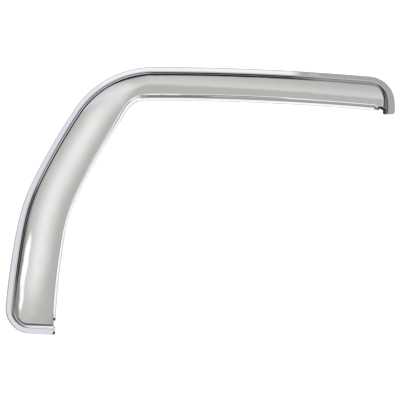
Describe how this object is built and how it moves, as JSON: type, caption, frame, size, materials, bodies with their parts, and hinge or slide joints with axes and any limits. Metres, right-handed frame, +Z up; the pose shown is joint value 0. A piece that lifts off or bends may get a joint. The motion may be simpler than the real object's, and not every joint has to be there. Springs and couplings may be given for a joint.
{
  "type": "window rain deflector",
  "caption": "Chrome window rain deflector for a front car door: curved moulded shade with a stick-on flange, foam tape behind it and red release liners.",
  "frame": {"origin": "middle of the top run's sticky strip, on the back of its release liner", "axes": "+X along the car toward the rear end of the deflector, +Z up, +Y toward the car; the shiny outer face looks toward -Y"},
  "size_m": [0.7851, 0.0838, 0.5413],
  "materials": {
    "chrome_shell": "bright polished plating on moulded ABS plastic",
    "foam_tape": "matte black acrylic foam",
    "release_liner": "thin red glossy film"
  },
  "bodies": {
    "root": {"visor_shell": "chrome_shell", "tape_top": "foam_tape", "tape_leg": "foam_tape", "tape_front_end": "foam_tape", "tape_rear_end": "foam_tape", "liner_top": "release_liner", "liner_leg": "release_liner", "liner_front_end": "release_liner", "liner_rear_end": "release_liner"}
  },
  "joints": []
}
